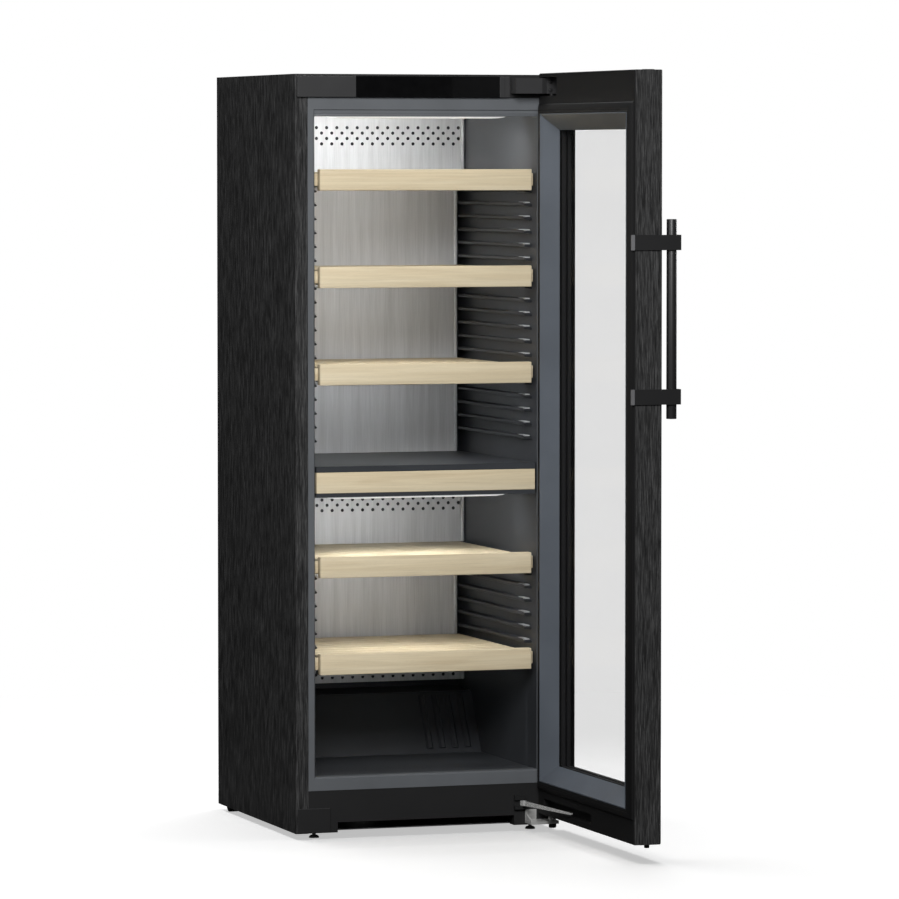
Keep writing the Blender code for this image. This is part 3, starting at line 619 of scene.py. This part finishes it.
def frame_reveals():
    """The frame's inner faces in the liner's dark tone, and the lip under its top bar."""
    low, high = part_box("front_frame")
    plates = bmesh.new()
    for x, way in ((OPENING_LEFT, 1), (OPENING_RIGHT, -1)):
        add_block(plates, sorted((x - way * 0.1 * MM, x + way * 0.25 * MM)), (low.y + 4.2 * MM, high.y),
                  (low_z("liner_left") + 1 * MM, OPENING_TOP))
    finish_mesh("frame_reveals", plates, LINER_PLASTIC, "cabinet", ())
    lip = bmesh.new()
    add_block(lip, (OPENING_LEFT, OPENING_RIGHT), (low.y + 3.2 * MM, low.y + 12 * MM),
              (OPENING_TOP - 5 * MM, OPENING_TOP + 0.5 * MM), 0.9 * MM)
    finish_mesh("frame_top_lip", lip, GREY_PLASTIC, "cabinet", ())


def frame_corners():
    """Small fillets in the corners of the frame's opening."""
    low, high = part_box("front_frame")
    radius = 9 * MM
    for name, x, z, across, up in (("top_left", OPENING_LEFT, OPENING_TOP, 1, -1),
                                   ("top_right", OPENING_RIGHT, OPENING_TOP, -1, -1)):
        bm = bmesh.new()
        arc = [(x + across * radius * (1 - math.sin(t)), z + up * radius * (1 - math.cos(t)))
               for t in (math.radians(15 * k) for k in range(7))]
        add_prism(bm, [(x, z), *arc], "y", low.y + 3.2 * MM, high.y)
        finish_mesh("frame_fillet_" + name, bm, GREY_PLASTIC, "cabinet", ())


# ---------------------------------------------------------------- shelves

def shelf_pieces(name):
    """A beech front board on a slatted deck, with end blocks and runners, all riding on the shelf."""
    low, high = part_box(name)
    middle = (low.z + high.z) / 2
    board_back = low.y + 20 * MM
    board = bmesh.new()
    add_block(board, (low.x, high.x), (low.y, board_back), (low.z, high.z), 1.6 * MM, 3)
    finish_mesh(name + "_board", board, BEECH, name, (name,))
    deck = bmesh.new()
    inner = (low.x + 6 * MM, high.x - 6 * MM)
    for x0, x1 in ((inner[0], inner[0] + 18 * MM), (inner[1] - 18 * MM, inner[1])):
        height = (middle - 12 * MM, middle + 5 * MM)
        add_block(deck, (x0, x1), (board_back - 2 * MM, high.y), height, 1 * MM, 2)
    slats = 9
    first = board_back + 3 * MM
    pitch = (high.y - first) / slats
    for i in range(slats):
        y0 = first + pitch * i
        add_block(deck, inner, (y0, y0 + pitch - 8 * MM), (middle + 5 * MM, middle + 16 * MM), 1.5 * MM, 2)
    finish_mesh(name + "_deck", deck, BEECH, name, ())
    blocks = bmesh.new()
    for x0, x1 in ((low.x - 10 * MM, low.x + 2 * MM), (high.x - 2 * MM, high.x + 10 * MM)):
        add_block(blocks, (x0, x1), (board_back - 0.5 * MM, board_back + 13 * MM),
                  (middle - 13 * MM, middle + 14 * MM), 1.2 * MM, 2)
    finish_mesh(name + "_end_blocks", blocks, BEECH, name, ())
    runners = bmesh.new()
    for x0, x1 in ((inner[0] + 1 * MM, inner[0] + 13 * MM), (inner[1] - 13 * MM, inner[1] - 1 * MM)):
        add_block(runners, (x0, x1), (board_back + 2 * MM, high.y - 4 * MM),
                  (middle - 17 * MM, middle - 12.4 * MM), 0.8 * MM, 2)
    finish_mesh(name + "_runners", runners, CHROME, name, ())


def divider():
    """The wooden strip across the zone divider, with a soft edge."""
    low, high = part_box("divider_front")
    bm = bmesh.new()
    add_block(bm, (low.x, high.x), (low.y, high.y), (low.z, high.z), 1.6 * MM, 3)
    finish_mesh("divider_board", bm, BEECH, "cabinet", ("divider_front",))


# ---------------------------------------------------------------- cabinet outside

def add_screw(bm, centre, axis, radius=4.2 * MM, way=-1):
    """A screw head in two steps, facing way along axis."""
    index = "xyz".index(axis)
    out = Vector([way if i == index else 0 for i in range(3)])
    add_rod(bm, Vector(centre) + out * 0.6 * MM, radius, 1.2 * MM, axis, 20)
    add_rod(bm, Vector(centre) + out * 1.4 * MM, radius * 0.8, 0.8 * MM, axis, 20, rim=0.25 * MM)


def cabinet_outside():
    dress(BLACK_STEEL, "side_panel_left", "side_panel_right", "rear_panel")
    dress(BLACK_PLASTIC, "top_panel", "plinth_cover", "corner_cover_left", "hinge_bush_lower", "mains_inlet",
          "drain_tray", "fan_frame_upper", "fan_frame_lower")
    dress(GREY_PLASTIC, "front_frame")
    dress(FASCIA_PLASTIC, "fascia", "hinge_bracket_upper")
    dress(DISPLAY, "display_panel")
    dress(ZINC, "hinge_bracket_lower", "hinge_pin_lower", "foot_front_left", "foot_front_right")
    dress(DARK_PLASTIC, "hinge_pin_upper", "closer_housing", "roller_rear_left", "roller_rear_right",
          "fan_rotor_upper", "fan_rotor_lower", "compressor")
    dress(ALUMINIUM, "base_tray", "condenser", "evaporator_upper", "evaporator_lower")
    dress(FOAM, "insulation")


def rear_details():
    """Pressed ribs on the rear sheet, screws round it, and the pipes in the niche."""
    low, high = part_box("rear_panel")
    ribs = bmesh.new()
    for i in range(5):
        x = low.x + (high.x - low.x) * (i + 1) / 6
        add_block(ribs, (x - 9 * MM, x + 9 * MM), (high.y - 1.5 * MM, high.y + 1.6 * MM),
                  (low.z + 60 * MM, high.z - 60 * MM), 1.4 * MM, 3)
    finish_mesh("rear_pressed_ribs", ribs, BLACK_STEEL, "cabinet", ())
    screws = bmesh.new()
    for z_share in (0.02, 0.26, 0.5, 0.74, 0.98):
        for x in (low.x + 12 * MM, high.x - 12 * MM):
            add_screw(screws, (x, high.y, low.z + (high.z - low.z) * z_share), "y", way=1)
    finish_mesh("rear_screws", screws, ZINC, "cabinet", ())
    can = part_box("compressor")
    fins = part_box("condenser")
    top = Vector(((can[0].x + can[1].x) / 2, (can[0].y + can[1].y) / 2, can[1].z))
    right = can[1].x
    tube("pipe_discharge", [
        top + Vector((50 * MM, 20 * MM, -22 * MM)), top + Vector((66 * MM, 24 * MM, 6 * MM)),
        (right + 18 * MM, top.y + 30 * MM, top.z + 8 * MM),
        (fins[0].x + 14 * MM, fins[1].y - 30 * MM, fins[1].z + 16 * MM),
        (fins[0].x + 22 * MM, fins[1].y - 34 * MM, fins[1].z - 6 * MM),
    ], 3 * MM, COPPER, "cabinet")
    tube("pipe_suction", [
        top + Vector((-48 * MM, 24 * MM, -24 * MM)), top + Vector((-62 * MM, 30 * MM, 4 * MM)),
        top + Vector((-74 * MM, 26 * MM, 18 * MM)), top + Vector((-80 * MM, 10 * MM, 34 * MM)),
    ], 4 * MM, COPPER, "cabinet")
    box = bmesh.new()
    add_block(box, (right - 14 * MM, right + 16 * MM), (top.y - 10 * MM, top.y + 34 * MM),
              (can[0].z + 60 * MM, can[0].z + 118 * MM), 3 * MM)
    finish_mesh("compressor_terminal_box", box, BLACK_PLASTIC, "cabinet", ())
    seams = bmesh.new()
    seam_radius = (can[1].x - can[0].x) / 2 + 3 * MM
    add_rod(seams, (top.x, top.y, can[0].z + 92 * MM), seam_radius, 5 * MM, sides=48, rim=1.2 * MM)
    for dx in (-60, 60):
        for dy in (-52, 52):
            foot = (top.x + dx * MM, top.y + dy * MM, can[0].z + 6 * MM)
            add_rod(seams, foot, 11 * MM, 12 * MM, sides=20, rim=2 * MM)
    finish_mesh("compressor_seam_and_feet", seams, DARK_PLASTIC, "cabinet", ())


FILLER_SETBACK = 3.3 * MM


def front_seams():
    """The fascia's end seam, a dark filler beside it that covers bare foam, and the hinge cover's bolts."""
    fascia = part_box("fascia")
    seam = bmesh.new()
    cap_x = fascia[1].x - 12 * MM
    height = (fascia[0].z, fascia[1].z)
    add_block(seam, (cap_x, cap_x + 0.8 * MM), (fascia[0].y - 0.1 * MM, fascia[1].y), height)
    finish_mesh("fascia_end_seam", seam, DARK_PLASTIC, "cabinet", ())
    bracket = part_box("hinge_bracket_upper")
    filler = bmesh.new()
    add_block(filler, (fascia[1].x + 0.3 * MM, span("side_panel_right", 0)[0] - 0.3 * MM),
              (fascia[0].y + FILLER_SETBACK, fascia[0].y + FILLER_SETBACK + 8 * MM), height)
    finish_mesh("fascia_filler", filler, DARK_PLASTIC, "cabinet", ())
    screws = bmesh.new()
    for share in (0.22, 0.78):
        z = bracket[0].z + (bracket[1].z - bracket[0].z) * share
        add_screw(screws, (bracket[1].x - 20 * MM, bracket[0].y + 4 * MM, z), "y", 5 * MM)
    finish_mesh("hinge_cover_bolts", screws, SATIN_BLACK, "cabinet", ())


# ---------------------------------------------------------------- door

def gasket():
    """Magnetic seal that rises from a rounded outer edge, with one shallow groove in its face."""
    low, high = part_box("door_gasket")
    tip, seat = low.x, high.x
    outer = (low.y, high.y, low.z, high.z)
    side_width, end_width = 25.1 * MM, 20.5 * MM

    def at(inset, share):
        across, up = inset * MM, inset * MM * end_width / side_width
        depth = seat + (tip - seat) * share
        return (outer[0] + across, outer[1] - across, outer[2] + up, outer[3] - up, depth)

    profile = [(0.0, 0.0), (0.0, 0.22), (2.5, 0.45), (5.0, 0.6), (7.5, 0.74), (10.0, 0.84), (12.5, 0.93),
               (15.0, 0.99), (16.0, 1.0), (17.0, 0.95), (18.0, 0.95), (19.0, 1.0), (23.5, 1.0),
               (24.6, 0.9), (25.1, 0.7), (25.1, 0.0)]
    bm = bmesh.new()
    add_ring(bm, [at(inset, share) for inset, share in profile])
    finish_mesh("door_gasket_lips", bm, RUBBER, "door", ("door_gasket",), sharp=50)


def door_details():
    inner_face, outer_face = span("door_frame", 0)
    near, far = span("door_frame", 1)

    def on_steel(face):
        x, y, z = face.center
        at_edge = min(y - near, far - y) < 2.5 * MM or z > span("door_frame", 2)[1] - 2.5 * MM
        return x > outer_face - 1.5 * MM or (at_edge and x > inner_face + 2.5 * MM)

    two_tone("door_frame", "door", BLACK_STEEL, DOOR_PLASTIC, on_steel)
    dress(TRIM_PLASTIC, "door_trim")
    dress(GLASS, "glass_inner", "glass_middle", "glass_outer")
    dress(DARK_PLASTIC, "spacer_inner", "spacer_outer")
    low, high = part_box("door_frame")
    caps = bmesh.new()
    bush_y = low.y + 22 * MM
    bush_x = low.x + 37 * MM
    add_rod(caps, (bush_x, bush_y, high.z + 0.2 * MM), 13 * MM, 1.6 * MM, sides=28, rim=0.5 * MM)
    add_rod(caps, (bush_x, bush_y, low.z - 4.5 * MM), 5.5 * MM, 9.4 * MM, sides=20, rim=1 * MM)
    add_block(caps, (bush_x - 22 * MM, bush_x + 22 * MM), (bush_y - 16 * MM, bush_y + 30 * MM),
              (low.z - 1.2 * MM, low.z + 0.5 * MM), 0.5 * MM)
    finish_mesh("door_bush_caps", caps, DARK_PLASTIC, "door", ())
    inner = bmesh.new()
    add_ring(inner, [
        (low.y + 1.4 * MM, high.y - 1.4 * MM, low.z + 1.4 * MM, high.z - 1.4 * MM, low.x + 0.4 * MM),
        (low.y + 1.4 * MM, high.y - 1.4 * MM, low.z + 1.4 * MM, high.z - 1.4 * MM, low.x - 0.25 * MM),
        (low.y + 3.6 * MM, high.y - 3.6 * MM, low.z + 3.6 * MM, high.z - 3.6 * MM, low.x - 0.25 * MM),
        (low.y + 3.6 * MM, high.y - 3.6 * MM, low.z + 3.6 * MM, high.z - 3.6 * MM, low.x + 0.4 * MM),
    ])
    screws = bmesh.new()
    for z in (high.z - 27 * MM, high.z - 36 * MM):
        add_rod(screws, (low.x, low.y + 8 * MM, z), 2.6 * MM, 0.2 * MM, "x", 16)
    finish_mesh("door_corner_screws", screws, DARK_PLASTIC, "door", ())
    finish_mesh("door_hem", inner, DOOR_PLASTIC, "door", ())


ARM_COLLAR = 14 * MM
ARM_RIDGES = 44


def closer_arm():
    """Silver arm that tapers from a square root to a thin tip, with fine ridges across its sides."""
    low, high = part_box("closer_arm")
    root = Vector((low.x + 3.0 * MM, high.y - 3.3 * MM, (low.z + high.z) / 2))
    tip = Vector((high.x - 1.4 * MM, low.y + 0.3 * MM, root.z))
    along = (tip - root).normalized()
    across = Vector((-along.y, along.x, 0))
    length = (tip - root).length
    bm = bmesh.new()
    steps = [(-3 * MM, 5.6, 3.2), (ARM_COLLAR - 1 * MM, 5.6, 3.2), (ARM_COLLAR, 5.0, 2.0)]
    for i in range(1, ARM_RIDGES):
        share = i / ARM_RIDGES
        reach = ARM_COLLAR + (length - ARM_COLLAR) * share
        steps.append((reach, 5.0 - 3.0 * share, (2.0 if i % 2 else 1.55) - 0.6 * share))
    steps.append((length, 1.2, 0.7))
    rows = []
    for reach, height, half in steps:
        middle = root + along * reach
        tilt = 2 * MM if reach > ARM_COLLAR else 0.0
        corners = []
        for way, up in ((-1, -1), (1, -1), (1, 1), (-1, 1)):
            offset = across * way * half * MM + Vector((0, 0, up * height * MM)) + along * up * tilt
            corners.append(bm.verts.new(middle + offset))
        rows.append(corners)
    for here, there in zip(rows, rows[1:]):
        for i in range(4):
            j = (i + 1) % 4
            bm.faces.new((here[i], here[j], there[j], there[i]))
    bm.faces.new(rows[0])
    bm.faces.new(rows[-1])
    finish_mesh("closer_arm_ridged", bm, CHROME, "closer_arm", ("closer_arm",), sharp=20)


def handle():
    """Round bar with soft rims, folded brackets and lighter pushers."""
    low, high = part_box("handle_bar")
    centre = ((low.x + high.x) / 2, (low.y + high.y) / 2, (low.z + high.z) / 2)
    bar = bmesh.new()
    add_rod(bar, centre, (high.x - low.x) / 2, high.z - low.z, sides=48, rim=1.2 * MM)
    finish_mesh("handle_bar_round", bar, SATIN_BLACK, "handle", ("handle_bar",))
    dress(SATIN_BLACK, "handle_bracket_lower", "handle_bracket_upper")
    dress(TAB_PLASTIC, "handle_pusher_lower", "handle_pusher_upper")


# ---------------------------------------------------------------- stage, lights and camera

FLOOR_GLOW_NEAR = 0.5
FLOOR_BOUNCE = 0.11
FLOOR_TONE = 0.92
WORLD_BOUNCE = 0.055


def camera_only(tree, low, high):
    """A value that is high for what the camera sees directly and low for all other light."""
    path = tree.nodes.new("ShaderNodeLightPath")
    level = tree.nodes.new("ShaderNodeMapRange")
    level.inputs["To Min"].default_value = low
    level.inputs["To Max"].default_value = high
    tree.links.new(path.outputs["Is Camera Ray"], level.inputs["Value"])
    return level.outputs["Result"]


def fade(shader, near, far):
    """A value that goes from near, under and round the object, to far at the floor's rim."""
    distance = shader.node("ShaderNodeVectorMath")
    distance.operation = "LENGTH"
    shader.link(shader.place((1, 1, 1)), distance.inputs[0])
    rise = shader.node("ShaderNodeMapRange")
    rise.interpolation_type = "SMOOTHSTEP"
    for socket, value in {"From Min": 0.9, "From Max": 2.3, "To Min": near, "To Max": far}.items():
        shader.set(rise, socket, value)
    shader.link(distance.outputs["Value"], rise.inputs["Value"])
    return rise.outputs["Result"]


def product(shader, first, second):
    both = shader.node("ShaderNodeMath")
    both.operation = "MULTIPLY"
    shader.link(first, both.inputs[0])
    shader.link(second, both.inputs[1])
    return both.outputs["Value"]


def stage():
    """A pale floor and a white world. Both are bright to the camera only and dim to all other rays."""
    floor_mesh = bmesh.new()
    bmesh.ops.create_circle(floor_mesh, cap_ends=True, segments=96, radius=3.2)
    shader = Shader("studio_floor", (0.9, 0.9, 0.9), 0.8, 0.0, 0.05)
    shader.set(shader.surface, "Emission Color", (1, 1, 1, 1))
    seen = camera_only(shader.tree, 0.0, 1.0)
    glow = fade(shader, FLOOR_GLOW_NEAR, 1.0)
    shader.link(product(shader, seen, glow), shader.surface.inputs["Emission Strength"])
    tone = product(shader, camera_only(shader.tree, FLOOR_BOUNCE, FLOOR_TONE), fade(shader, 1.0, 0.0))
    shader.link(tone, shader.surface.inputs["Base Color"])
    mesh = bpy.data.meshes.new("studio_floor")
    floor_mesh.to_mesh(mesh)
    floor_mesh.free()
    mesh.materials.append(shader.material)
    floor = bpy.data.objects.new("studio_floor", mesh)
    bpy.context.scene.collection.objects.link(floor)
    left_out = bpy.data.collections.new("lit_by_overhead_only")
    left_out.objects.link(floor)
    left_out.collection_objects[0].light_linking.link_state = "EXCLUDE"
    world = bpy.data.worlds.new("studio")
    world.use_nodes = True
    tree = world.node_tree
    surroundings = tree.nodes["Background"]
    surroundings.inputs["Color"].default_value = (1, 1, 1, 1)
    tree.links.new(camera_only(tree, WORLD_BOUNCE, 1.0), surroundings.inputs["Strength"])
    bpy.context.scene.world = world
    bpy.context.scene.view_settings.view_transform = "Standard"
    return left_out


def area_light(name, place, target, size, power, receivers=None):
    lamp = bpy.data.lights.new(name, "AREA")
    lamp.shape = "RECTANGLE"
    lamp.size, lamp.size_y = size
    lamp.energy = power
    made = bpy.data.objects.new(name, lamp)
    made.location = place
    made.rotation_euler = (Vector(target) - Vector(place)).to_track_quat("-Z", "Y").to_euler()
    bpy.context.scene.collection.objects.link(made)
    if receivers:
        made.light_linking.receiver_collection = receivers


def lights(object_only):
    area_light("key", (-1.5, -4.3, 3.1), (0.0, -0.2, 0.9), (1.8, 1.8), 240, object_only)
    area_light("side", (-1.9, -1.3, 1.7), (-0.3, 0.0, 1.0), (0.7, 1.4), 11, object_only)
    area_light("right", (3.0, 0.9, 1.8), (0.3, 0.0, 0.9), (0.7, 1.4), 38, object_only)
    area_light("overhead", (0.0, 0.9, 4.4), (0.0, 0.4, 0.0), (2.9, 2.9), 180)
    zone_lamp("upper_zone_lamp", OPENING_TOP - 12 * MM, 1.9, tilt=52)
    zone_lamp("lower_zone_lamp", low_z("zone_divider") - 12 * MM, 1.0, tilt=45)
    for name in SHELVES[:4]:
        zone_lamp("through_" + name, low_z(name) - 4 * MM, 0.6, tilt=45)
    zone_lamp("through_shelf_5", low_z("shelf_5") - 4 * MM, 0.12, tilt=75)


CAMERA_YAW = 18.642
CAMERA_PLACE = (-3.77081, -11.24119, 1.47404)
CAMERA_LENS = 219.056
CAMERA_PITCH = 3.063


def camera():
    lens = bpy.data.cameras.new("camera")
    lens.lens = CAMERA_LENS
    lens.sensor_width = 36.0
    lens.clip_end = 100.0
    made = bpy.data.objects.new("camera", lens)
    made.location = CAMERA_PLACE
    made.rotation_euler = (math.radians(90 - CAMERA_PITCH), 0, math.radians(-CAMERA_YAW))
    bpy.context.scene.collection.objects.link(made)
    bpy.context.scene.camera = made


camera()
lights(stage())
cabinet_outside()
front_seams()
rear_details()
liner_walls()
air_panels()
light_bar("light_bar_upper", span("led_light_bar", 2)[1], ("led_light_bar",))
light_bar("light_bar_lower", low_z("zone_divider"))
slanted_cover()
frame_reveals()
frame_corners()
divider()
for shelf in SHELVES:
    shelf_pieces(shelf)
gasket()
door_details()
handle()
closer_arm()
